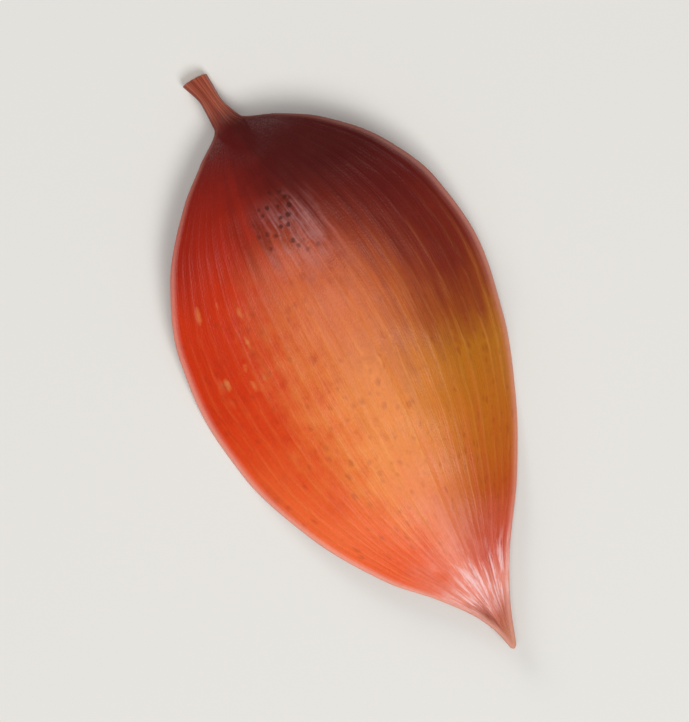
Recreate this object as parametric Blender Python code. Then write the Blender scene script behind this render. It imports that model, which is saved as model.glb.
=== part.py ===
"""A single picked leaf, lying face up: a leathery pointed blade with a thickened rim, and its short petiole.

The leaf is one solid. Its petiole points to -Y, its tip to +Y and its upper face to +Z. It lies on z = 0
and touches it at the petiole's cut end and at one place on each margin. The origin is under the middle of
the leaf's box.
"""

import bpy
import numpy as np

MM = 0.001

# Driving dimensions, in metres.
BLADE_LENGTH = 68 * MM
PETIOLE_LENGTH = 6 * MM
BLADE_THICKNESS = 0.44 * MM
RIM_THICKNESS = 0.64 * MM
RIM_WIDTH = 0.9 * MM
MIDRIB_GROOVE = 0.12 * MM
TIP_HALF_WIDTH = 0.3 * MM
FLATTENING = 0.17 * MM

# How far each margin stands from the leaf's straight axis, in blade lengths, against the place along the
# blade: 0 at its base and 1 at its tip. The petiole is the part before 0.
BROAD_MARGIN = (
    (-0.09, 0.034), (-0.045, 0.021), (0.00, 0.022), (0.045, 0.073), (0.09, 0.127), (0.19, 0.209),
    (0.31, 0.258), (0.42, 0.270), (0.53, 0.259), (0.67, 0.212), (0.80, 0.134), (0.87, 0.071),
    (0.93, 0.027), (0.965, 0.012), (1.00, 0.0044),
)  # fmt: skip
NARROW_MARGIN = (
    (-0.09, 0.012), (-0.045, 0.013), (0.00, 0.027), (0.03, 0.085), (0.07, 0.145), (0.15, 0.217),
    (0.25, 0.262), (0.36, 0.276), (0.50, 0.253), (0.63, 0.206), (0.75, 0.142), (0.85, 0.074),
    (0.93, 0.031), (1.00, 0.0044),
)  # fmt: skip
MIDRIB_OFFSET = (
    (-0.09, -0.011), (-0.045, -0.004), (0.00, 0.0025), (0.17, 0.030), (0.38, 0.052), (0.60, 0.040),
    (0.83, 0.010), (1.00, 0.0),
)  # fmt: skip

# Heights over the ground, in metres, against the same places along the blade.
MIDRIB_HEIGHT = (
    (-0.09, 0.86 * MM), (-0.05, 1.5 * MM), (0.00, 3.0 * MM), (0.12, 5.7 * MM), (0.28, 7.0 * MM),
    (0.45, 6.7 * MM), (0.62, 5.3 * MM), (0.78, 3.4 * MM), (0.90, 1.9 * MM), (1.00, 2.0 * MM),
)  # fmt: skip
BROAD_HEIGHT = (
    (-0.09, 0.86 * MM), (-0.05, 1.5 * MM), (0.00, 2.8 * MM), (0.12, 4.0 * MM), (0.28, 2.2 * MM),
    (0.48, 0.06 * MM), (0.62, 0.9 * MM), (0.78, 2.1 * MM), (0.90, 2.0 * MM), (1.00, 2.0 * MM),
)  # fmt: skip
NARROW_HEIGHT = (
    (-0.09, 0.86 * MM), (-0.05, 1.5 * MM), (0.00, 3.0 * MM), (0.12, 5.1 * MM), (0.28, 4.3 * MM),
    (0.45, 1.6 * MM), (0.58, 0.00 * MM), (0.72, 0.8 * MM), (0.88, 1.8 * MM), (1.00, 2.0 * MM),
)  # fmt: skip
# How the blade's cross-section falls from the midrib to a margin: 2 would be a plain parabola.
CROWN = 1.9

# The petiole runs on under the blade as a keel that thins towards the tip: its height and half width.
KEEL_HEIGHT = (
    (-0.09, 0.95 * MM), (-0.045, 0.80 * MM), (0.00, 0.72 * MM), (0.06, 0.46 * MM), (0.15, 0.30 * MM),
    (0.50, 0.20 * MM), (0.90, 0.10 * MM), (1.00, 0.02 * MM),
)  # fmt: skip
KEEL_HALF_WIDTH = (
    (-0.09, 1.56 * MM), (-0.045, 1.16 * MM), (0.00, 1.66 * MM), (0.10, 1.3 * MM), (0.50, 0.9 * MM),
    (1.00, 0.5 * MM),
)  # fmt: skip
# Places along the blade: where the petiole's oval section turns into the blade's, where its round back stops
# showing on the upper face, and where the groove over the midrib starts and ends.
OVAL_TO_BLADE = (-0.02, 0.05)
BACK_FADES = (0.0, 0.07)
GROOVE_STARTS = (0.02, 0.10)
GROOVE_ENDS = (0.85, 0.99)
# The share of the blade's thickness that wraps the petiole's oval core.
PETIOLE_SKIN = 0.3

# Mesh density. CROWDING is how strongly the stations crowd towards the blade's two ends, from 0 to 1, and
# RIM_ROWS are the rim's rows, in rim widths from the margin.
PETIOLE_STATIONS = 8
BLADE_STATIONS = 58
CROWDING = 0.8
ROWS_PER_HALF = 6
RIM_ROWS = (0.62, 0.38, 0.10, 0.0)

LEAF_RED = (0.42, 0.07, 0.03, 1.0)


def clear_scene():
    for obj in list(bpy.data.objects):
        bpy.data.objects.remove(obj, do_unlink=True)


def smooth_curve(points, at):
    """The natural cubic spline through (place, value) points, read at the given places."""
    x, y = np.array(points).T
    gap = np.diff(x)
    count = len(x)
    system = np.eye(count)
    right = np.zeros(count)
    for i in range(1, count - 1):
        system[i, i - 1 : i + 2] = gap[i - 1], 2 * (gap[i - 1] + gap[i]), gap[i]
        right[i] = 6 * ((y[i + 1] - y[i]) / gap[i] - (y[i] - y[i - 1]) / gap[i - 1])
    bend = np.linalg.solve(system, right)
    i = np.clip(np.searchsorted(x, at) - 1, 0, count - 2)
    past = (at - x[i]) / gap[i]
    left = 1 - past
    arch = (left**3 - left) * bend[i] + (past**3 - past) * bend[i + 1]
    return left * y[i] + past * y[i + 1] + arch * gap[i] ** 2 / 6


def steady_curve(points, at):
    """A curve through (place, value) points that never swings past them: monotone cubic pieces."""
    x, y = np.array(points).T
    gap = np.diff(x)
    slope = np.diff(y) / gap
    tangent = np.zeros(len(x))
    tangent[0] = slope[0]
    tangent[-1] = slope[-1]
    for i in range(1, len(x) - 1):
        if slope[i - 1] * slope[i] > 0:
            tangent[i] = 2 / (1 / slope[i - 1] + 1 / slope[i])
    i = np.clip(np.searchsorted(x, at) - 1, 0, len(x) - 2)
    s = (at - x[i]) / gap[i]
    start = (1 + 2 * s) * (1 - s) ** 2 * y[i] + s * (1 - s) ** 2 * gap[i] * tangent[i]
    end = s**2 * (3 - 2 * s) * y[i + 1] + s**2 * (s - 1) * gap[i] * tangent[i + 1]
    return start + end


def ease(value, low, high):
    """0 below low, 1 above high, and a smooth step between them."""
    s = np.clip((value - low) / (high - low), 0, 1)
    return s * s * (3 - 2 * s)


def station_places():
    """Places along the leaf, from the petiole's cut end, closer together at the blade's base and tip."""
    cut_end = -PETIOLE_LENGTH / BLADE_LENGTH
    petiole = np.linspace(cut_end, 0, PETIOLE_STATIONS, endpoint=False)
    even = np.linspace(0, 1, BLADE_STATIONS)
    return np.concatenate([petiole, even - CROWDING * np.sin(2 * np.pi * even) / (2 * np.pi)])


def half_width(margin, side, place):
    """How far a margin is from the midrib, in metres. side is 1 for the broad half and -1 for the narrow."""
    tip = np.sqrt(np.clip((1 - place) * BLADE_LENGTH / TIP_HALF_WIDTH, 0, 1))
    return BLADE_LENGTH * (steady_curve(margin, place) + side * smooth_curve(MIDRIB_OFFSET, place)) * tip


def row_fractions(width):
    """Where the rows stand from the midrib, 0, to the margin, 1: even over the blade, close on the rim."""
    rim = np.minimum(RIM_WIDTH / np.maximum(width, 0.01 * MM), 0.4)
    inner = np.linspace(0, 1, ROWS_PER_HALF + 1)[:, None] * (1 - rim)
    outer = 1 - np.array(RIM_ROWS)[:, None] * rim
    return np.concatenate([inner, outer])


def middle_surface(place, side, fraction, width):
    """Points halfway through the thickness, as (row, station, xyz), and how steeply they rise to +X."""
    midrib = smooth_curve(MIDRIB_HEIGHT, place)
    broad = smooth_curve(BROAD_HEIGHT, place)
    narrow = smooth_curve(NARROW_HEIGHT, place)
    margin = broad if side > 0 else narrow
    full_width = half_width(BROAD_MARGIN, 1, place) + half_width(NARROW_MARGIN, -1, place)
    lean = (broad - narrow) / np.maximum(full_width, 0.1 * MM)
    fall = margin - midrib - side * lean * width
    x = side * fraction * width - BLADE_LENGTH * smooth_curve(MIDRIB_OFFSET, place)
    y = np.broadcast_to(place * BLADE_LENGTH, x.shape)
    z = midrib + side * lean * fraction * width + fall * fraction**CROWN
    rise = lean + side * fall * CROWN * fraction ** (CROWN - 1) / np.maximum(width, 0.1 * MM)
    return np.stack([x, y, z], axis=-1), rise


def half_thickness(place, fraction, width):
    """(above, below): how far each face stands from the middle surface."""
    from_margin = (1 - fraction) * width
    from_midrib = fraction * width
    rim_radius = RIM_THICKNESS / 2
    swell = 1 - ease(from_margin, 0.35 * RIM_WIDTH, RIM_WIDTH)
    blade = BLADE_THICKNESS / 2 + (rim_radius - BLADE_THICKNESS / 2) * swell
    blade = blade * np.sqrt(1 - (1 - np.clip(from_margin / rim_radius, 0, 1)) ** 2)
    across = from_midrib / steady_curve(KEEL_HALF_WIDTH, place)
    oval = np.sqrt(np.clip(1 - across**2, 0, 1))
    ridge = np.exp(-2 * across**2)
    on_blade = ease(place, *OVAL_TO_BLADE)
    keel = steady_curve(KEEL_HEIGHT, place) * (oval + (ridge - oval) * on_blade)
    groove = MIDRIB_GROOVE * ridge * ease(place, *GROOVE_STARTS) * (1 - ease(place, *GROOVE_ENDS))
    blade = blade * (PETIOLE_SKIN + (1 - PETIOLE_SKIN) * on_blade)
    inside = fraction < 1
    above = inside * (blade + keel * (1 - ease(place, *BACK_FADES)) - groove)
    below = inside * (blade + keel)
    return above, below


def half_skin(place, margin, side):
    """The upper and the lower face of one half, from the midrib out, each as (row, station, xyz)."""
    width = half_width(margin, side, place)
    fraction = row_fractions(width)
    points, rise = middle_surface(place, side, fraction, width)
    above, below = half_thickness(place, fraction, width)
    along = np.gradient(points, place, axis=1)
    across = np.stack([np.ones_like(rise), np.zeros_like(rise), rise], axis=-1)
    normal = np.cross(across, along)
    normal /= np.linalg.norm(normal, axis=-1, keepdims=True)
    return points + normal * above[..., None], points - normal * below[..., None]


def leaf_grid():
    """The leaf's skin as closed loops, one for each station: (station, row, xyz)."""
    place = station_places()
    narrow_top, narrow_under = half_skin(place, NARROW_MARGIN, -1)
    broad_top, broad_under = half_skin(place, BROAD_MARGIN, 1)
    loop = [narrow_top[:0:-1], broad_top, broad_under[-2::-1], narrow_under[1:-1]]
    return np.concatenate(loop).transpose(1, 0, 2)


def settled(grid):
    """The leaf let down until its lowest places flatten on z = 0, with the origin under its box's middle."""
    points = grid.reshape(-1, 3)
    points = points - [0, 0, points[:, 2].min() + FLATTENING]
    points[:, 2] = np.maximum(points[:, 2], 0)
    middle = (points.min(axis=0) + points.max(axis=0)) / 2
    points -= [middle[0], middle[1], 0]
    return points.reshape(grid.shape)


def leaf_faces(stations, rows):
    """Quads round every loop, the petiole's flat cut end, and a fan to the tip's one vertex."""
    faces = []
    for i in range(stations - 1):
        for j in range(rows):
            k = (j + 1) % rows
            faces.append((i * rows + j, i * rows + k, (i + 1) * rows + k, (i + 1) * rows + j))
    last = (stations - 1) * rows
    tip = stations * rows
    faces += [(last + j, last + (j + 1) % rows, tip) for j in range(rows)]
    faces.append(tuple(reversed(range(rows))))
    return faces


def leaf_material():
    material = bpy.data.materials.new("leaf_surface")
    material.use_nodes = True
    shader = material.node_tree.nodes["Principled BSDF"]
    shader.inputs["Base Color"].default_value = LEAF_RED
    shader.inputs["Roughness"].default_value = 0.38
    shader.inputs["Metallic"].default_value = 0.0
    return material


def make_leaf():
    grid = settled(leaf_grid())
    loops = grid[:-1]
    tip = grid[-1].mean(axis=0)
    vertices = [tuple(point) for point in loops.reshape(-1, 3)] + [tuple(tip)]
    mesh = bpy.data.meshes.new("leaf")
    mesh.from_pydata(vertices, [], leaf_faces(len(loops), loops.shape[1]))
    mesh.shade_smooth()
    mesh.materials.append(leaf_material())
    leaf = bpy.data.objects.new("leaf", mesh)
    bpy.context.scene.collection.objects.link(leaf)
    return leaf


clear_scene()
make_leaf()
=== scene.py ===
"""One picked autumn leaf, lying face up on a pale surface, seen from straight above."""

import math

import bpy
import numpy as np
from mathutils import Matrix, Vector


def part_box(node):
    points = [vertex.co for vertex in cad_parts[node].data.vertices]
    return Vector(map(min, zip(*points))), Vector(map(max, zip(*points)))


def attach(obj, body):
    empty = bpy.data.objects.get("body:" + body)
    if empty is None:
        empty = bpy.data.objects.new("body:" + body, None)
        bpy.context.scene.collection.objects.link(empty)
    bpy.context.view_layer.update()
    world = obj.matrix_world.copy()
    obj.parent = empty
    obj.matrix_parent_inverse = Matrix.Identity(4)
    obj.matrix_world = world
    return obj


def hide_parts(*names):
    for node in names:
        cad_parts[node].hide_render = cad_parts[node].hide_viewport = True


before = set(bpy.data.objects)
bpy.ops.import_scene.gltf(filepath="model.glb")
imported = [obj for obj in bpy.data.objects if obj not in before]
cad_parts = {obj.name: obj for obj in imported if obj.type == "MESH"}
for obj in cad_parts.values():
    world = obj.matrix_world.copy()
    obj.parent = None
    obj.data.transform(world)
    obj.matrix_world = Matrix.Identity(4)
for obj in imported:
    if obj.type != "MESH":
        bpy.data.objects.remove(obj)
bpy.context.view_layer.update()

MM = 0.001

# ---------------------------------------------------------------------------------------------------
# The leaf's form. It is the CAD solid's, and it is read here at a finer step.
# ---------------------------------------------------------------------------------------------------
BLADE_LENGTH = 68 * MM
PETIOLE_LENGTH = 6 * MM
BLADE_THICKNESS = 0.44 * MM
RIM_THICKNESS = 0.64 * MM
RIM_WIDTH = 0.9 * MM
MIDRIB_GROOVE = 0.12 * MM
TIP_HALF_WIDTH = 0.3 * MM

# Each margin's distance from the leaf's straight axis, in blade lengths, against the place along the blade: 0
# at its base and 1 at its tip. The petiole is the part before 0.
BROAD_MARGIN = (
    (-0.09, 0.034), (-0.045, 0.021), (0.00, 0.022), (0.045, 0.073), (0.09, 0.127), (0.19, 0.209),
    (0.31, 0.258), (0.42, 0.270), (0.53, 0.259), (0.67, 0.212), (0.80, 0.134), (0.87, 0.071),
    (0.93, 0.027), (0.965, 0.012), (1.00, 0.0044),
)  # fmt: skip
NARROW_MARGIN = (
    (-0.09, 0.012), (-0.045, 0.013), (0.00, 0.027), (0.03, 0.085), (0.07, 0.145), (0.15, 0.217),
    (0.25, 0.262), (0.36, 0.276), (0.50, 0.253), (0.63, 0.206), (0.75, 0.142), (0.85, 0.074),
    (0.93, 0.031), (1.00, 0.0044),
)  # fmt: skip
MIDRIB_OFFSET = (
    (-0.09, -0.011), (-0.045, -0.004), (0.00, 0.0025), (0.17, 0.030), (0.38, 0.052), (0.60, 0.040),
    (0.83, 0.010), (1.00, 0.0),
)  # fmt: skip

# Heights over the surface that the leaf lies on, against the same places.
MIDRIB_HEIGHT = (
    (-0.09, 0.86 * MM), (-0.05, 1.5 * MM), (0.00, 3.0 * MM), (0.12, 5.7 * MM), (0.28, 7.0 * MM),
    (0.45, 6.7 * MM), (0.62, 5.3 * MM), (0.78, 3.4 * MM), (0.90, 1.9 * MM), (1.00, 2.0 * MM),
)  # fmt: skip
BROAD_HEIGHT = (
    (-0.09, 0.86 * MM), (-0.05, 1.5 * MM), (0.00, 2.8 * MM), (0.12, 4.0 * MM), (0.28, 2.2 * MM),
    (0.48, 0.06 * MM), (0.62, 0.9 * MM), (0.78, 2.1 * MM), (0.90, 2.0 * MM), (1.00, 2.0 * MM),
)  # fmt: skip
NARROW_HEIGHT = (
    (-0.09, 0.86 * MM), (-0.05, 1.5 * MM), (0.00, 3.0 * MM), (0.12, 5.1 * MM), (0.28, 4.3 * MM),
    (0.45, 1.6 * MM), (0.58, 0.00 * MM), (0.72, 0.8 * MM), (0.88, 1.8 * MM), (1.00, 2.0 * MM),
)  # fmt: skip
# How the blade's cross-section falls from the midrib to a margin: 2 would be a plain parabola.
CROWN = 1.9

# The petiole runs on under the blade as a keel that thins towards the tip: its height and half width.
KEEL_HEIGHT = (
    (-0.09, 0.95 * MM), (-0.045, 0.80 * MM), (0.00, 0.72 * MM), (0.06, 0.46 * MM), (0.15, 0.30 * MM),
    (0.50, 0.20 * MM), (0.90, 0.10 * MM), (1.00, 0.02 * MM),
)  # fmt: skip
KEEL_HALF_WIDTH = (
    (-0.09, 1.56 * MM), (-0.045, 1.16 * MM), (0.00, 1.66 * MM), (0.10, 1.3 * MM), (0.50, 0.9 * MM),
    (1.00, 0.5 * MM),
)  # fmt: skip
# Places along the blade: where the petiole's oval section turns into the blade's, where its round back stops
# showing on the upper face, and where the groove over the midrib starts and ends.
OVAL_TO_BLADE = (-0.02, 0.05)
BACK_FADES = (0.0, 0.07)
GROOVE_STARTS = (0.02, 0.10)
GROOVE_ENDS = (0.85, 0.99)
# The share of the blade's thickness that wraps the petiole's oval core, and how far the lowest places
# flatten.
PETIOLE_SKIN = 0.3
FLATTENING = 0.17 * MM

# ---------------------------------------------------------------------------------------------------
# The surface detail that only this mesh has.
# ---------------------------------------------------------------------------------------------------
# The stations along the leaf crowd towards the blade's two ends: not at 0, and fully at 1.
PETIOLE_STATIONS = 34
BLADE_STATIONS = 226
CROWDING = 0.6
# The rim's rows, in rim widths from the margin, and the most of a half's width that the rim takes.
RIM_ROWS = (0.8, 0.62, 0.48, 0.36, 0.25, 0.15, 0.06, 0.0)
MOST_RIM = 0.4
# The pale line on the rim, partly its own colour and partly a painted highlight on its edge, fades between
# these distances from the margin.
RIM_LINE = (0.25 * MM, 0.95 * MM)
# The cut end's rings: share of the outline, and how far each is sunk into the petiole.
CUT_RINGS = ((0.05, 0.14 * MM), (0.35, 0.15 * MM), (0.62, 0.08 * MM), (0.84, 0.01 * MM), (0.97, 0.0))

BROAD_VEINS = 14
NARROW_VEINS = 10
VEIN_SEED = 7
# Measures in spaces between two veins: the first vein's distance from the midrib, the rim's distance past as
# many spaces as there are veins, the veins' unevenness and half width, and the rows of points over each vein.
FIRST_VEIN = 0.75
RIM_PAST_VEINS = 0.3
VEIN_JITTER = 0.08
VEIN_HALF_WIDTH = 0.15
VEIN_ROWS = (-0.28, -0.12, 0.0, 0.12, 0.28, 0.5)
LAST_ROW = 0.995
# One vein in three is a main one. The others are weaker, between these strengths.
MAIN_VEIN_EVERY = 3
MAIN_VEIN = 1.25
FINE_VEINS = (0.6, 1.0)
# How far a vein of strength 1 stands out on each face, and the space between veins below which it flattens.
VEIN_ABOVE = 0.030 * MM
VEIN_BELOW = 0.055 * MM
VEIN_ROOM = 1.0 * MM

# Ripples, as (radians over the first measure, radians over the second, phase, share of the full height).
UNDULATION = 0.10 * MM
UNDULATION_WAVES = (
    (0.52, 0.21, 0.6, 0.5),
    (0.83, -0.37, 2.1, 0.4),
    (0.31, 0.66, 4.0, 0.35),
    (1.17, 0.52, 1.3, 0.25),
)
TIP_WRINKLE = 0.13 * MM
WRINKLE_WAVES = ((20, 15, 1.0, 0.6), (-34, 27, 2.0, 0.4), (160, 9, 0.0, 0.35))
WRINKLES_START = (0.75, 0.86)
WRINKLES_END = (0.94, 1.00)

# Lengthwise ridges round the petiole, turned a little by its twist, in radians per blade length. They end
# where the blade starts, and towards each edge of the petiole's upper and lower face.
PETIOLE_RIDGE = 0.05 * MM
PETIOLE_RIDGES = 9
PETIOLE_TWIST = 26
RIDGES_END = (-0.02, 0.03)
RIDGES_EDGE = 0.1


def smooth_curve(points, at):
    """The natural cubic spline through (place, value) points, read at the given places."""
    x, y = np.array(points).T
    gap = np.diff(x)
    count = len(x)
    system = np.eye(count)
    right = np.zeros(count)
    for i in range(1, count - 1):
        system[i, i - 1 : i + 2] = gap[i - 1], 2 * (gap[i - 1] + gap[i]), gap[i]
        right[i] = 6 * ((y[i + 1] - y[i]) / gap[i] - (y[i] - y[i - 1]) / gap[i - 1])
    bend = np.linalg.solve(system, right)
    i = np.clip(np.searchsorted(x, at) - 1, 0, count - 2)
    past = (at - x[i]) / gap[i]
    left = 1 - past
    arch = (left**3 - left) * bend[i] + (past**3 - past) * bend[i + 1]
    return left * y[i] + past * y[i + 1] + arch * gap[i] ** 2 / 6


def steady_curve(points, at):
    """A curve through (place, value) points that never swings past them: monotone cubic pieces."""
    x, y = np.array(points).T
    gap = np.diff(x)
    slope = np.diff(y) / gap
    tangent = np.zeros(len(x))
    tangent[0] = slope[0]
    tangent[-1] = slope[-1]
    for i in range(1, len(x) - 1):
        if slope[i - 1] * slope[i] > 0:
            tangent[i] = 2 / (1 / slope[i - 1] + 1 / slope[i])
    i = np.clip(np.searchsorted(x, at) - 1, 0, len(x) - 2)
    s = (at - x[i]) / gap[i]
    start = (1 + 2 * s) * (1 - s) ** 2 * y[i] + s * (1 - s) ** 2 * gap[i] * tangent[i]
    end = s**2 * (3 - 2 * s) * y[i + 1] + s**2 * (s - 1) * gap[i] * tangent[i + 1]
    return start + end


def ease(value, low, high):
    """0 below low, 1 above high, and a smooth step between them."""
    s = np.clip((value - low) / (high - low), 0, 1)
    return s * s * (3 - 2 * s)


def station_places():
    """Places along the leaf, from the petiole's cut end to the blade's tip."""
    cut_end = -PETIOLE_LENGTH / BLADE_LENGTH
    petiole = np.linspace(cut_end, 0, PETIOLE_STATIONS, endpoint=False)
    even = np.linspace(0, 1, BLADE_STATIONS)
    return np.concatenate([petiole, even - CROWDING * np.sin(2 * np.pi * even) / (2 * np.pi)])


def half_width(margin, side, place):
    """How far a margin is from the midrib, in metres. side is 1 for the broad half and -1 for the narrow."""
    tip = np.sqrt(np.clip((1 - place) * BLADE_LENGTH / TIP_HALF_WIDTH, 0, 1))
    return BLADE_LENGTH * (steady_curve(margin, place) + side * smooth_curve(MIDRIB_OFFSET, place)) * tip


def middle_surface(place, side, fraction, width):
    """Points halfway through the thickness, as (row, station, xyz), and how steeply they rise to +X."""
    midrib = smooth_curve(MIDRIB_HEIGHT, place)
    broad = smooth_curve(BROAD_HEIGHT, place)
    narrow = smooth_curve(NARROW_HEIGHT, place)
    margin = broad if side > 0 else narrow
    full_width = half_width(BROAD_MARGIN, 1, place) + half_width(NARROW_MARGIN, -1, place)
    lean = (broad - narrow) / np.maximum(full_width, 0.1 * MM)
    fall = margin - midrib - side * lean * width
    x = side * fraction * width - BLADE_LENGTH * smooth_curve(MIDRIB_OFFSET, place)
    y = np.broadcast_to(place * BLADE_LENGTH, x.shape)
    z = midrib + side * lean * fraction * width + fall * fraction**CROWN
    rise = lean + side * fall * CROWN * fraction ** (CROWN - 1) / np.maximum(width, 0.1 * MM)
    return np.stack([x, y, z], axis=-1), rise


def half_thickness(place, fraction, width):
    """(above, below): how far each face stands from the middle surface, before any fine relief."""
    from_margin = (1 - fraction) * width
    from_midrib = fraction * width
    rim_radius = RIM_THICKNESS / 2
    swell = 1 - ease(from_margin, 0.35 * RIM_WIDTH, RIM_WIDTH)
    blade = BLADE_THICKNESS / 2 + (rim_radius - BLADE_THICKNESS / 2) * swell
    blade = blade * np.sqrt(1 - (1 - np.clip(from_margin / rim_radius, 0, 1)) ** 2)
    across = from_midrib / steady_curve(KEEL_HALF_WIDTH, place)
    oval = np.sqrt(np.clip(1 - across**2, 0, 1))
    ridge = np.exp(-2 * across**2)
    on_blade = ease(place, *OVAL_TO_BLADE)
    keel = steady_curve(KEEL_HEIGHT, place) * (oval + (ridge - oval) * on_blade)
    groove = MIDRIB_GROOVE * ridge * ease(place, *GROOVE_STARTS) * (1 - ease(place, *GROOVE_ENDS))
    blade = blade * (PETIOLE_SKIN + (1 - PETIOLE_SKIN) * on_blade)
    above = blade + keel * (1 - ease(place, *BACK_FADES)) - groove
    below = blade + keel
    return above, below


def vein_rows(count, side):
    """Where the rows of one half stand between midrib and rim, how much of a vein each is on, from 0 to 1,
    and that vein's own strength. A row runs along the crest of every vein, and others down its flanks."""
    random = np.random.default_rng(VEIN_SEED + side)
    places = [0.0]
    profile = [0.0]
    strength = [1.0]
    for k in range(count):
        centre = k + FIRST_VEIN + random.uniform(-VEIN_JITTER, VEIN_JITTER)
        vein = random.uniform(*FINE_VEINS) if k % MAIN_VEIN_EVERY else MAIN_VEIN
        for row in VEIN_ROWS:
            places.append((centre + row) / (count + RIM_PAST_VEINS))
            profile.append(math.exp(-((row / VEIN_HALF_WIDTH) ** 2)))
            strength.append(vein)
    places = np.array(places)
    keep = places < LAST_ROW
    return places[keep], np.array(profile)[keep], np.array(strength)[keep]


def ripples(waves, first, second):
    """Crossing waves added up, read at the given measures."""
    return sum(share * np.sin(a * first + b * second + phase) for a, b, phase, share in waves)


def undulation(points):
    """A soft unevenness of the whole blade, about 5 to 11 mm from crest to crest."""
    return UNDULATION * ripples(UNDULATION_WAVES, points[..., 1] / MM, points[..., 0] / MM)


def tip_wrinkles(place, across):
    """Lengthwise creases and short puckers where the blade is drawn together behind the tip."""
    window = ease(place, *WRINKLES_START) * (1 - ease(place, *WRINKLES_END))
    return TIP_WRINKLE * window * ripples(WRINKLE_WAVES, place, across)


def half_skin(place, margin, side, veins):
    """One half's two faces from the midrib out, as (row, station, xyz), with what each point is part of."""
    width = half_width(margin, side, place)
    rim = np.minimum(RIM_WIDTH / np.maximum(width, 0.01 * MM), MOST_RIM)
    inner, profile, strength = vein_rows(veins, side)
    outer = 1 - np.array(RIM_ROWS)[:, None] * rim
    fraction = np.concatenate([inner[:, None] * (1 - rim), outer])
    blank = np.zeros(len(RIM_ROWS))
    profile = np.concatenate([profile, blank])[:, None]
    strength = np.concatenate([strength, blank])[:, None]
    points, rise = middle_surface(place, side, fraction, width)
    above, below = half_thickness(place, fraction, width)

    on_blade = ease(place, *OVAL_TO_BLADE)
    room = np.clip(width / veins / VEIN_ROOM, 0, 1)
    vein = profile * strength * room * on_blade
    across = side * fraction
    shift = (undulation(points) * on_blade + tip_wrinkles(place, across)) * (1 - fraction**3)
    turn = np.pi * (1 + across) / 2
    twist = PETIOLE_TWIST * place
    ridge = PETIOLE_RIDGE * (1 - ease(place, *RIDGES_END))
    ridge = ridge * np.sqrt(np.clip((1 - fraction) / RIDGES_EDGE, 0, 1))
    ridges_above = ridge * np.sin(PETIOLE_RIDGES * turn + twist)
    ridges_below = ridge * np.sin(PETIOLE_RIDGES * (2 * np.pi - turn) + twist)
    above = (above + VEIN_ABOVE * vein + ridges_above + shift) * (fraction < 1)
    below = (below + VEIN_BELOW * vein + ridges_below - shift) * (fraction < 1)

    along = np.gradient(points, place, axis=1)
    slope = np.stack([np.ones_like(rise), np.zeros_like(rise), rise], axis=-1)
    normal = np.cross(slope, along)
    normal /= np.linalg.norm(normal, axis=-1, keepdims=True)
    marks = {
        "along": np.broadcast_to(place, fraction.shape),
        "across": across,
        "vein": vein,
        "rim": on_blade * (1 - ease((1 - fraction) * width, *RIM_LINE)),
    }
    top = points + normal * above[..., None]
    under = points - normal * below[..., None]
    return top, under, marks


def round_the_leaf(narrow_top, broad_top, broad_under, narrow_under):
    """Joins the four pieces of skin into closed loops, one for each station."""
    loop = [narrow_top[:0:-1], broad_top, broad_under[-2::-1], narrow_under[1:-1]]
    return np.concatenate(loop).swapaxes(0, 1)


def leaf_surface():
    """The loops of points, and the marks that the material reads, from the petiole's cut end to the tip."""
    place = station_places()
    narrow_top, narrow_under, narrow = half_skin(place, NARROW_MARGIN, -1, NARROW_VEINS)
    broad_top, broad_under, broad = half_skin(place, BROAD_MARGIN, 1, BROAD_VEINS)
    loops = round_the_leaf(narrow_top, broad_top, broad_under, narrow_under)
    marks = {name: round_the_leaf(narrow[name], broad[name], broad[name], narrow[name]) for name in narrow}
    on_margin = [0.5 * (np.abs(half["across"]) > 0.999) for half in (narrow, broad)]
    marks["under"] = round_the_leaf(on_margin[0], on_margin[1], 1 - on_margin[1], 1 - on_margin[0])
    return loops, marks


def settled(points):
    """The leaf let down onto the surface, and fitted to the box of the solid that it dresses."""
    points = points - [0, 0, points[:, 2].min() + FLATTENING]
    points[:, 2] = np.maximum(points[:, 2], 0)
    low, high = (np.array(corner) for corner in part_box("leaf"))
    lowest = points.min(axis=0)
    highest = points.max(axis=0)
    return low + (points - lowest) * (high - low) / (highest - lowest)


def band_of_faces(first, second, rows):
    """Quads between two loops, given the index of each loop's first point."""
    j = np.arange(rows)
    k = (j + 1) % rows
    return np.stack([first + j, first + k, second + k, second + j], axis=1).tolist()


def fan_of_faces(loop, centre, rows):
    """Triangles from a loop to one point, given the index of the loop's first point and of that point."""
    j = np.arange(rows)
    return np.stack([loop + j, loop + (j + 1) % rows, np.full(rows, centre)], axis=1).tolist()


def spread_mark(name, values, rings):
    """A mark's value at every vertex. The cut end takes the first station's, but is itself all cut."""
    ends = np.ones_like(values[:1]) if name == "cut" else values[:1]
    on_loops = np.concatenate([np.repeat(ends, rings, axis=0), values[:-1]]).ravel()
    return np.concatenate([on_loops, [ends[0, 0], values[-1, 0]]]).astype(np.float32)


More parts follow.
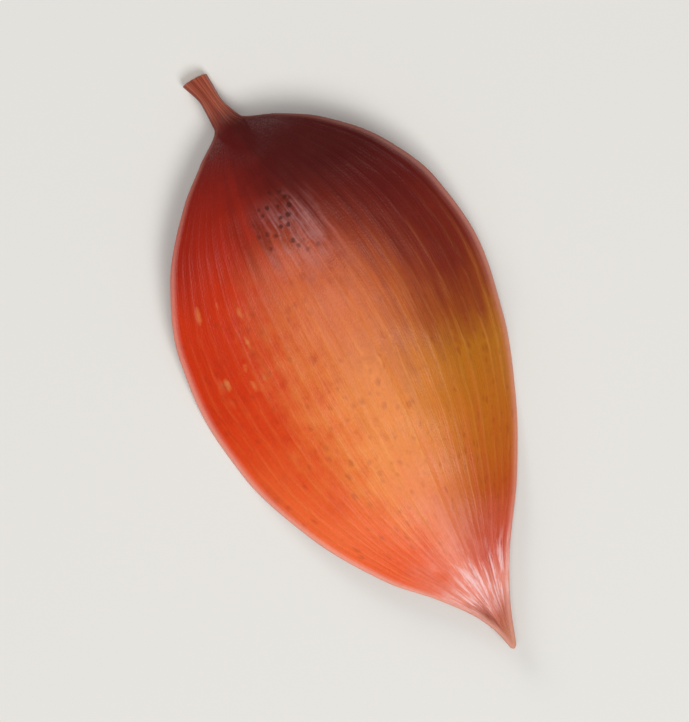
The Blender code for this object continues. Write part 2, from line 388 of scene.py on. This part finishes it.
def leaf_object():
    """The whole leaf as one closed mesh: cut end, petiole, blade and tip."""
    loops, marks = leaf_surface()
    rows = loops.shape[1]
    end = loops[0]
    middle = end.mean(axis=0)
    rings = [middle + (end - middle) * share + [0, depth, 0] for share, depth in CUT_RINGS]
    sunk_middle = middle + [0, CUT_RINGS[0][1], 0]
    tip = loops[-1].mean(axis=0)
    stations = np.concatenate([rings, loops[:-1]])
    count = len(stations)
    points = settled(np.concatenate([stations.reshape(-1, 3), [sunk_middle, tip]]))

    faces = []
    for i in range(count - 1):
        faces += band_of_faces(i * rows, (i + 1) * rows, rows)
    faces += [face[::-1] for face in fan_of_faces(0, count * rows, rows)]
    faces += fan_of_faces((count - 1) * rows, count * rows + 1, rows)

    mesh = bpy.data.meshes.new("leaf")
    mesh.from_pydata(points.tolist(), [], faces)
    mesh.shade_smooth()
    marks["cut"] = np.zeros(loops.shape[:2])
    for name, values in marks.items():
        attribute = mesh.attributes.new(name, "FLOAT", "POINT")
        attribute.data.foreach_set("value", spread_mark(name, values, len(rings)))
    leaf = bpy.data.objects.new("autumn_leaf", mesh)
    bpy.context.scene.collection.objects.link(leaf)
    return leaf


# ---------------------------------------------------------------------------------------------------
# Colour. Each run of colours goes from the blade's base to its tip, in sRGB.
# ---------------------------------------------------------------------------------------------------
# The darkest maroon at the base of each run is partly the leaf's own colour and partly painted shade, and the
# pale pink near 0.88 is partly a painted highlight.
NARROW_COLOURS = (
    (0.03, (70, 8, 4)), (0.14, (72, 10, 6)), (0.24, (98, 20, 12)), (0.36, (120, 34, 16)),
    (0.45, (150, 66, 20)), (0.54, (184, 108, 20)), (0.64, (192, 104, 18)), (0.74, (188, 78, 20)),
    (0.83, (204, 76, 54)), (0.89, (232, 140, 122)), (0.94, (196, 112, 90)), (1.00, (196, 134, 98)),
)  # fmt: skip
# The middle run's pale peach from about 0.26 to 0.80 is partly a painted sheen along the crest of the blade.
MIDDLE_COLOURS = (
    (0.03, (78, 6, 4)), (0.12, (98, 16, 8)), (0.19, (136, 42, 20)), (0.26, (194, 84, 46)),
    (0.36, (218, 110, 56)), (0.48, (232, 130, 62)), (0.60, (240, 138, 62)), (0.70, (242, 132, 72)),
    (0.80, (242, 134, 98)), (0.88, (248, 156, 140)), (0.94, (218, 126, 106)), (1.00, (198, 134, 98)),
)  # fmt: skip
BROAD_COLOURS = (
    (0.03, (90, 12, 6)), (0.09, (132, 22, 6)), (0.18, (166, 32, 6)), (0.28, (202, 48, 6)),
    (0.42, (212, 54, 8)), (0.52, (222, 68, 20)), (0.62, (234, 92, 40)), (0.70, (244, 106, 54)),
    (0.79, (238, 90, 36)), (0.85, (232, 106, 72)), (0.89, (236, 144, 124)), (0.93, (164, 84, 66)),
    (1.00, (178, 112, 78)),
)  # fmt: skip
# The rim's pale pink: partly its own colour, partly a painted highlight on its edge.
RIM_PINK_AND_HIGHLIGHT = (238, 166, 148)
VEIN_GOLD = (244, 176, 92)
MOTTLE_MAROON = (96, 18, 10)
DASH_RED = (140, 40, 22)
FLECK_CREAM = (246, 178, 104)
# Painted sheen: the mauve of the gloss on the crest by the midrib.
SPECK_BROWN = (62, 22, 14)
SHEEN_MAUVE = (206, 160, 160)
# Painted highlight on the crests of the creases behind the tip.
CREASE_HIGHLIGHT = (255, 208, 206)
CREASE_RED = (188, 46, 40)
UNDERSIDE_TAN = (206, 132, 100)
UNDERSIDE_VEIN = (150, 58, 40)
PETIOLE_BROWN = (182, 98, 72)
PETIOLE_RED = (120, 36, 24)
CUT_TAN = (216, 178, 140)
CUT_PITH = (166, 112, 82)
FLOOR_COLOUR = (232, 230, 226)


def linear(colour):
    """An sRGB colour, 0 to 255, as the linear RGBA that the shader takes."""
    parts = [part / 255 for part in colour]
    return tuple(c / 12.92 if c <= 0.04045 else ((c + 0.055) / 1.055) ** 2.4 for c in parts) + (1.0,)


class Sheet:
    """A material's node tree, written as plain expressions. Each method gives back an output socket."""

    def __init__(self, name):
        self.material = bpy.data.materials.new(name)
        self.material.use_nodes = True
        self.tree = self.material.node_tree
        self.shader = self.tree.nodes["Principled BSDF"]

    def put(self, socket, value):
        if isinstance(value, bpy.types.NodeSocket):
            self.tree.links.new(value, socket)
        else:
            socket.default_value = value

    def node(self, kind, **settings):
        made = self.tree.nodes.new(kind)
        for name, value in settings.items():
            setattr(made, name, value)
        return made

    def calc(self, operation, *values):
        made = self.node("ShaderNodeMath", operation=operation)
        for socket, value in zip(made.inputs, values):
            self.put(socket, value)
        return made.outputs[0]

    def product(self, first, *others):
        for value in others:
            first = self.calc("MULTIPLY", first, value)
        return first

    def sway(self, noise, amount):
        """A noise from 0 to 1 as a push of up to half the amount either way."""
        return self.calc("MULTIPLY_ADD", noise, amount, -amount / 2)

    def mark(self, name):
        return self.node("ShaderNodeAttribute", attribute_name=name).outputs["Fac"]

    def step(self, value, low, high, to_low=0.0, to_high=1.0):
        """A smooth step from to_low at low to to_high at high."""
        made = self.node("ShaderNodeMapRange", interpolation_type="SMOOTHSTEP")
        for socket, entry in zip(made.inputs, (value, low, high, to_low, to_high)):
            self.put(socket, entry)
        return made.outputs["Result"]

    def window(self, value, start, full, fade, end):
        """1 between full and fade, 0 outside start and end."""
        return self.product(self.step(value, start, full), self.step(value, fade, end, 1.0, 0.0))

    def blend(self, share, first, second, kind="MIX"):
        made = self.node("ShaderNodeMix", data_type="RGBA", blend_type=kind)
        self.put(made.inputs["Factor"], share)
        self.put(made.inputs[6], first)
        self.put(made.inputs[7], second)
        return made.outputs[2]

    def paint(self, below, colour, mask, strength=1.0):
        """A colour laid over what is below it, as strongly as the mask times the strength."""
        return self.blend(self.product(mask, strength), below, linear(colour))

    def ramp(self, value, stops):
        """A run of colours, given as (place, colour) from the lowest place up."""
        made = self.node("ShaderNodeValToRGB")
        band = made.color_ramp
        while len(band.elements) > 1:
            band.elements.remove(band.elements[-1])
        band.elements[0].position = stops[0][0]
        band.elements[0].color = linear(stops[0][1])
        for place, colour in stops[1:]:
            band.elements.new(place).color = linear(colour)
        self.put(made.inputs[0], value)
        return made.outputs["Color"]

    def spot(self, x, y, z):
        made = self.node("ShaderNodeCombineXYZ")
        for socket, value in zip(made.inputs, (x, y, z)):
            self.put(socket, value)
        return made.outputs[0]

    def stretched(self, across, along, repeats, layer=0.0):
        """Spots for a pattern that runs with the veins. Each layer has a pattern of its own."""
        x = self.calc("MULTIPLY", across, repeats[0])
        y = self.calc("MULTIPLY", along, repeats[1])
        return self.spot(x, y, layer)

    def noise(self, spots, scale=1.0, detail=3.0, roughness=0.5, seed=0.0):
        made = self.node("ShaderNodeTexNoise", noise_dimensions="4D")
        self.put(made.inputs["Vector"], spots)
        self.put(made.inputs["W"], seed)
        self.put(made.inputs["Scale"], scale)
        self.put(made.inputs["Detail"], detail)
        self.put(made.inputs["Roughness"], roughness)
        return made.outputs[0]

    def cells(self, spots, scale):
        """A pattern of cells: its node, for the distance from each cell's centre and for its own shade."""
        made = self.node("ShaderNodeTexVoronoi", feature="F1")
        self.put(made.inputs["Vector"], spots)
        self.put(made.inputs["Scale"], scale)
        return made

    def bump(self, height, depth, strength):
        made = self.node("ShaderNodeBump")
        self.put(made.inputs["Height"], height)
        self.put(made.inputs["Distance"], depth)
        self.put(made.inputs["Strength"], strength)
        return made.outputs[0]


# ---------------------------------------------------------------------------------------------------
# Where each marking lies, in leaf coordinates: `along` runs from 0 at the blade's base to 1 at its tip, and
# `across` from -1 at the narrow margin, over 0 at the midrib, to 1 at the broad one. A pair is where a
# marking starts to show and where it is full; a window of four also says where it fades and where it ends.
# ---------------------------------------------------------------------------------------------------
ON_TOP = (0.1, 0.6)
UNDERSIDE = (0.55, 0.95)
PETIOLE = (-0.035, 0.02)

ZONES_SHIFT = (0.05, 0.35, 0.7, 0.95)
NARROW_TO_MIDDLE = (-0.92, 0.08)
MIDDLE_TO_BROAD = (-0.28, 0.28)
BROAD_ZONE = 0.5
BASE_SLANT = 1.1
BASE_SLANT_END = 0.4
BASE_SLANT_START = -0.56
GOLD_WIDENS = (0.34, 0.48)
TIP_ZONES_TURN = (0.66, 0.80)
BROAD_STARTS_WIDE = (0.14, 0.30)
BASE_SOFTENS = (0.0, 0.26)

MAROON_ALONG = (-0.05, 0.1, 0.45, 0.95)
GILT_ALONG = (0.2, 0.5, 0.8, 0.95)
DASHES_ALONG = (0.18, 0.32, 0.74, 0.86)
FLECKS_ALONG = (0.20, 0.25, 0.37, 0.45)
FLECKS_ACROSS = (0.52, 0.64, 0.78, 0.88)
# Where the painted mauve sheen lies, on the crest by the midrib.
SHEEN_ALONG = (0.13, 0.20, 0.22, 0.33)
SPECKS_ALONG = (0.11, 0.15, 0.22, 0.28)
SHEEN_ACROSS = (-0.22, 0.0, 0.16, 0.38)
RED_CREASES_ALONG = (0.76, 0.83, 0.88, 0.93)
# Where the painted highlights on the creases start and end.
CREASE_HIGHLIGHTS_START = (0.80, 0.87)
CREASE_HIGHLIGHTS_END = (0.90, 0.95)
BROAD_CREASES_LATER = (0.2, 0.6)

# Dots are this much smaller, in cell widths, as their cell's own shade goes from 1 down to 0.
DOT_SHRINKAGE = 0.45
# The leaf's patterns, as how often they repeat over half the blade's width and over its length.
DRIFT_REPEATS = (13.0, 5.0)
STRIA_REPEATS = (46.0, 7.0)
DASH_REPEATS = (22.0, 52.0)
FLECK_REPEATS = (20.0, 26.0)
CREASE_REPEATS = (13.0, 17.0)
FIBRE_REPEATS = (90.0, 14.0)


class Skin:
    """The leaf's own coordinates, and the uneven patterns that several of its markings share."""

    def __init__(self, sheet):
        self.along = sheet.mark("along")
        self.across = sheet.mark("across")
        self.vein = sheet.mark("vein")
        self.rim = sheet.mark("rim")
        self.under = sheet.mark("under")
        self.cut = sheet.mark("cut")
        self.on_top = sheet.step(self.under, *ON_TOP, 1.0, 0.0)
        self.place = sheet.node("ShaderNodeTexCoord").outputs["Object"]

        self.cloud = sheet.noise(self.place, scale=120.0, detail=3.0, roughness=0.5, seed=1.7)
        self.mottle = sheet.noise(self.place, scale=420.0, detail=4.0, roughness=0.6, seed=4.1)
        self.grain = sheet.noise(self.place, scale=2600.0, detail=3.0, roughness=0.6, seed=6.2)
        drift_spots = sheet.stretched(self.across, self.along, DRIFT_REPEATS, self.under)
        self.drift = sheet.noise(drift_spots, detail=3.0, roughness=0.55, seed=0.3)
        # The fine lengthwise patterns wander a little from side to side.
        self.wander = sheet.calc("ADD", self.across, sheet.sway(self.cloud, 0.16))
        stria_spots = sheet.stretched(self.wander, self.along, STRIA_REPEATS, self.under)
        self.stria = sheet.noise(stria_spots, detail=3.0, roughness=0.6, seed=2.9)
        self.ragged = sheet.sway(self.mottle, 0.9)

        # The colour zones lie unevenly along and across the blade, so no border between them is straight.
        shift = sheet.calc("ADD", sheet.sway(self.drift, 0.16), sheet.sway(self.cloud, 0.12))
        shift = sheet.calc("MULTIPLY", shift, sheet.window(self.along, *ZONES_SHIFT))
        self.shifted = sheet.calc("ADD", self.along, shift)
        self.bent = sheet.calc("ADD", self.across, sheet.sway(self.drift, 0.4))


def zone_colours(sheet, skin):
    """Three runs of colour side by side: maroon to gold, maroon to orange, and red to vermilion, with painted
    shade in their dark bases and a painted sheen in the middle run.
    """
    narrow = sheet.ramp(skin.shifted, NARROW_COLOURS)
    middle = sheet.ramp(skin.shifted, MIDDLE_COLOURS)
    broad = sheet.ramp(skin.shifted, BROAD_COLOURS)

    # The border of the narrow side's run crosses the blade's base on a slant.
    base_part = sheet.calc("MINIMUM", skin.along, BASE_SLANT_END)
    slant = sheet.calc("MULTIPLY_ADD", base_part, BASE_SLANT, BASE_SLANT_START)
    slanted = sheet.calc("ADD", skin.bent, slant)
    slanted = sheet.calc("SUBTRACT", slanted, sheet.step(skin.along, *GOLD_WIDENS, 0.0, 0.15))
    slanted = sheet.calc("SUBTRACT", slanted, sheet.step(skin.along, *TIP_ZONES_TURN, 0.0, 0.16))
    colour = sheet.blend(sheet.step(slanted, *NARROW_TO_MIDDLE), narrow, middle)

    # The broad side's run is wider at both ends of the blade, and its border is softer at the base.
    outer = sheet.calc("ADD", skin.bent, sheet.step(skin.along, *TIP_ZONES_TURN, 0.0, 0.18))
    outer = sheet.calc("ADD", outer, sheet.step(skin.along, *BROAD_STARTS_WIDE, 0.16, 0.0))
    outer = sheet.calc("ADD", outer, sheet.sway(skin.mottle, 0.5))
    sharpness = sheet.step(skin.along, *BASE_SOFTENS, 0.45, 1.0)
    outer = sheet.calc("MULTIPLY", sheet.calc("SUBTRACT", outer, BROAD_ZONE), sharpness)
    return sheet.blend(sheet.step(outer, *MIDDLE_TO_BROAD), colour, broad)


def with_veins(sheet, skin, colour):
    """Maroon left between the veins, and gold along them."""
    between = sheet.calc("ADD", skin.mottle, sheet.calc("MULTIPLY", skin.vein, -0.12))
    maroon = sheet.product(sheet.step(between, 0.50, 0.78), sheet.window(skin.along, *MAROON_ALONG))
    colour = sheet.paint(colour, MOTTLE_MAROON, maroon, 0.22)
    gilt = sheet.product(skin.vein, sheet.window(skin.along, *GILT_ALONG), sheet.step(skin.stria, 0.35, 0.7))
    return sheet.paint(colour, VEIN_GOLD, gilt, 0.16)


def uneven_dots(sheet, skin, spots, scale, edge, chosen):
    """Dots with ragged edges and unlike sizes, in the cells whose own shade is past the chosen one."""
    cells = sheet.cells(spots, scale)
    shade = cells.outputs["Color"]
    shrinkage = sheet.calc("MULTIPLY_ADD", shade, -DOT_SHRINKAGE, DOT_SHRINKAGE)
    reach = sheet.calc("ADD", cells.outputs["Distance"], sheet.calc("ADD", skin.ragged, shrinkage))
    return sheet.calc("MULTIPLY", sheet.step(reach, *edge, 1.0, 0.0), sheet.step(shade, *chosen))


def with_dots_and_sheen(sheet, skin, colour):
    """The upper face's small marks: brown dashes along the veins, cream flecks near the broad margin, and
    brown specks by the midrib in a patch of painted mauve sheen."""
    dash_spots = sheet.stretched(skin.wander, skin.along, DASH_REPEATS)
    dashes = uneven_dots(sheet, skin, dash_spots, 1.0, edge=(0.10, 0.60), chosen=(0.35, 0.60))
    dashes = sheet.product(dashes, sheet.window(skin.along, *DASHES_ALONG), skin.on_top)
    colour = sheet.paint(colour, DASH_RED, dashes, 0.30)

    fleck_spots = sheet.stretched(skin.across, skin.along, FLECK_REPEATS)
    flecks = uneven_dots(sheet, skin, fleck_spots, 1.0, edge=(0.14, 0.56), chosen=(0.42, 0.50))
    fleck_area = sheet.product(
        sheet.window(skin.across, *FLECKS_ACROSS), sheet.window(skin.along, *FLECKS_ALONG)
    )
    colour = sheet.paint(colour, FLECK_CREAM, sheet.product(flecks, fleck_area, skin.on_top), 0.45)

    # Painted sheen: mauve patches over the crest beside the midrib, where the brown specks also lie.
    beside = sheet.product(sheet.window(skin.bent, *SHEEN_ACROSS), skin.on_top)
    half_stria = sheet.calc("MULTIPLY", skin.stria, 0.5)
    half_mottle = sheet.calc("MULTIPLY", skin.mottle, 0.5)
    patches = sheet.calc("ADD", half_stria, half_mottle)
    sheen = sheet.product(beside, sheet.window(skin.shifted, *SHEEN_ALONG), sheet.step(patches, 0.38, 0.62))
    colour = sheet.paint(colour, SHEEN_MAUVE, sheen, 0.30)
    specks = uneven_dots(sheet, skin, skin.place, 1100.0, edge=(0.26, 0.52), chosen=(0.36, 0.46))
    specks = sheet.product(specks, beside, sheet.window(skin.along, *SPECKS_ALONG))
    return sheet.paint(colour, SPECK_BROWN, specks, 0.75)


def with_creases_and_highlights(sheet, skin, colour):
    """Creases where the blade is drawn together behind the tip: red between them, and painted highlights
    along them.
    """
    crease_spots = sheet.stretched(skin.wander, skin.along, CREASE_REPEATS, 3.0)
    crease = sheet.noise(crease_spots, detail=4.0, roughness=0.65, seed=5.5)
    between = sheet.step(crease, 0.30, 0.46, 1.0, 0.0)
    red = sheet.product(between, sheet.window(skin.along, *RED_CREASES_ALONG))
    colour = sheet.paint(colour, CREASE_RED, red, 0.5)
    # Painted highlights along the creases, starting a little later on the broad side.
    start = sheet.calc("SUBTRACT", skin.along, sheet.step(skin.across, *BROAD_CREASES_LATER, 0.0, 0.04))
    drawn = sheet.step(start, *CREASE_HIGHLIGHTS_START)
    drawn = sheet.product(drawn, sheet.step(skin.along, *CREASE_HIGHLIGHTS_END, 1.0, 0.0))
    return sheet.paint(colour, CREASE_HIGHLIGHT, sheet.product(sheet.step(crease, 0.49, 0.62), drawn), 0.85)


def with_rim_and_highlight(sheet, skin, colour):
    """The thick rim is paler and pinker than the blade beside it, mostly away from the base and on +X: partly
    its own colour, partly a painted highlight where its edge catches the light.
    """
    paler_along = sheet.step(skin.along, 0.0, 0.45, 0.20, 0.78)
    paler_across = sheet.step(skin.across, -0.5, 0.5, 0.65, 1.0)
    return sheet.paint(colour, RIM_PINK_AND_HIGHLIGHT, sheet.product(skin.rim, paler_along, paler_across))


def with_underside(sheet, skin, colour):
    """The underside is duller and paler, with darker veins."""
    back = sheet.blend(0.5, colour, linear(UNDERSIDE_TAN))
    back = sheet.paint(back, UNDERSIDE_VEIN, skin.vein, 0.45)
    return sheet.blend(sheet.step(skin.under, *UNDERSIDE), colour, back)


def with_petiole(sheet, skin, colour):
    """The petiole's streaked brown, and the paler pith of its cut end."""
    stalk = sheet.blend(sheet.step(skin.drift, 0.35, 0.65), linear(PETIOLE_BROWN), linear(PETIOLE_RED))
    colour = sheet.blend(sheet.step(skin.along, *PETIOLE, 1.0, 0.0), colour, stalk)
    pith = sheet.blend(sheet.step(skin.mottle, 0.4, 0.6), linear(CUT_TAN), linear(CUT_PITH))
    return sheet.blend(skin.cut, colour, pith)


def with_grain(sheet, skin, colour):
    """A fine unevenness of shade over everything."""
    shade = sheet.calc("MULTIPLY_ADD", skin.grain, 0.24, 0.76)
    shade = sheet.calc("ADD", shade, sheet.calc("MULTIPLY", skin.stria, 0.24))
    return sheet.blend(1.0, colour, sheet.spot(shade, shade, shade), "MULTIPLY")


def gloss(sheet, skin):
    """Roughness: a satin upper face, a duller underside, and a matt cut end."""
    matt = sheet.calc("ADD", sheet.calc("MULTIPLY", skin.under, 0.18), sheet.calc("MULTIPLY", skin.cut, 0.25))
    return sheet.calc("ADD", sheet.calc("MULTIPLY_ADD", skin.mottle, 0.24, 0.20), matt)


def fine_relief(sheet, skin):
    """Fine lengthwise fibres, skin cells and soft pits, too small for the mesh."""
    fibre_spots = sheet.stretched(skin.across, skin.along, FIBRE_REPEATS, skin.under)
    fibres = sheet.noise(fibre_spots, detail=2.0, roughness=0.5, seed=8.8)
    cell_walls = sheet.cells(skin.place, 4200.0).outputs["Distance"]
    height = sheet.calc("ADD", fibres, sheet.calc("MULTIPLY", cell_walls, 0.35))
    height = sheet.calc("ADD", height, sheet.calc("MULTIPLY", skin.mottle, 0.8))
    return sheet.bump(height, 0.05 * MM, strength=0.8)


def leaf_material():
    sheet = Sheet("leaf_skin")
    skin = Skin(sheet)
    colour = zone_colours(sheet, skin)
    for layer in (with_veins, with_dots_and_sheen, with_creases_and_highlights, with_rim_and_highlight, with_underside, with_petiole, with_grain):
        colour = layer(sheet, skin, colour)
    sheet.put(sheet.shader.inputs["Base Color"], colour)
    sheet.put(sheet.shader.inputs["Roughness"], gloss(sheet, skin))
    sheet.put(sheet.shader.inputs["Normal"], fine_relief(sheet, skin))
    sheet.shader.inputs["IOR"].default_value = 1.42
    sheet.shader.inputs["Specular IOR Level"].default_value = 0.34
    return sheet.material


def floor_material():
    sheet = Sheet("floor")
    sheet.shader.inputs["Base Color"].default_value = linear(FLOOR_COLOUR)
    sheet.shader.inputs["Roughness"].default_value = 0.7
    sheet.shader.inputs["Specular IOR Level"].default_value = 0.2
    return sheet.material


# ---------------------------------------------------------------------------------------------------
# The studio: a pale floor, a strip light over the crest of the leaf, a softbox beyond each end of it, an
# even grey surround, and a camera straight above.
# ---------------------------------------------------------------------------------------------------
FLOOR_SIZE = 4.0
LEAF_TURN = math.radians(151.2)
CAMERA_HEIGHT = 0.40
CAMERA_LENS = 175.0
CAMERA_SENSOR = 36.0
LAMP_COLOUR = (1.0, 0.99, 0.965)
SURROUND = (0.94, 0.96, 1.0, 1.0)
SURROUND_STRENGTH = 0.25
# Each softbox: its place from the middle of the leaf, its width and length, and its power in watts.
SOFTBOXES = {
    "overhead": ((0.12, 0.06, 0.70), (0.14, 0.38), 0.90),
    "base_side": ((0.10, -0.92, 0.36), (0.50, 0.40), 3.6),
    "tip_side": ((-0.05, 0.58, 0.82), (0.50, 0.50), 5.9),
}


def add_floor():
    reach = FLOOR_SIZE / 2
    corners = [(-reach, -reach, 0), (reach, -reach, 0), (reach, reach, 0), (-reach, reach, 0)]
    mesh = bpy.data.meshes.new("floor")
    mesh.from_pydata(corners, [], [(0, 1, 2, 3)])
    mesh.materials.append(floor_material())
    floor = bpy.data.objects.new("floor", mesh)
    bpy.context.scene.collection.objects.link(floor)


def add_surround():
    world = bpy.data.worlds.new("surround")
    world.use_nodes = True
    background = world.node_tree.nodes["Background"]
    background.inputs["Color"].default_value = SURROUND
    background.inputs["Strength"].default_value = SURROUND_STRENGTH
    bpy.context.scene.world = world


def add_softbox(name, place, size, power):
    """An area light, aimed at the middle of the leaf."""
    low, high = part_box("leaf")
    light = bpy.data.lights.new(name, "AREA")
    light.shape = "RECTANGLE"
    light.size, light.size_y = size
    light.energy = power
    light.color = LAMP_COLOUR
    lamp = bpy.data.objects.new(name, light)
    lamp.location = (low + high) / 2 + Vector(place)
    lamp.rotation_euler = Vector(place).to_track_quat("Z", "Y").to_euler()
    lamp.visible_camera = False
    bpy.context.scene.collection.objects.link(lamp)


def add_camera(leaf):
    """A camera straight above, turned so that the petiole is at the upper left, with the leaf centred."""
    right = np.array((math.cos(LEAF_TURN), math.sin(LEAF_TURN)))
    up = np.array((-math.sin(LEAF_TURN), math.cos(LEAF_TURN)))
    points = np.array([vertex.co[:2] for vertex in leaf.data.vertices])
    centre = np.zeros(2)
    for axis in (right, up):
        reached = points @ axis
        centre += axis * (reached.min() + reached.max()) / 2
    camera = bpy.data.cameras.new("camera")
    camera.lens = CAMERA_LENS
    camera.sensor_width = CAMERA_SENSOR
    camera.clip_start = 0.01
    viewer = bpy.data.objects.new("camera", camera)
    viewer.location = (centre[0], centre[1], CAMERA_HEIGHT)
    viewer.rotation_euler = (0, 0, LEAF_TURN)
    bpy.context.scene.collection.objects.link(viewer)
    bpy.context.scene.camera = viewer
    bpy.context.scene.view_settings.view_transform = "Standard"


leaf = leaf_object()
leaf.data.materials.append(leaf_material())
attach(leaf, "root")
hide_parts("leaf")

add_floor()
add_surround()
for name, (place, size, power) in SOFTBOXES.items():
    add_softbox(name, place, size, power)
add_camera(leaf)
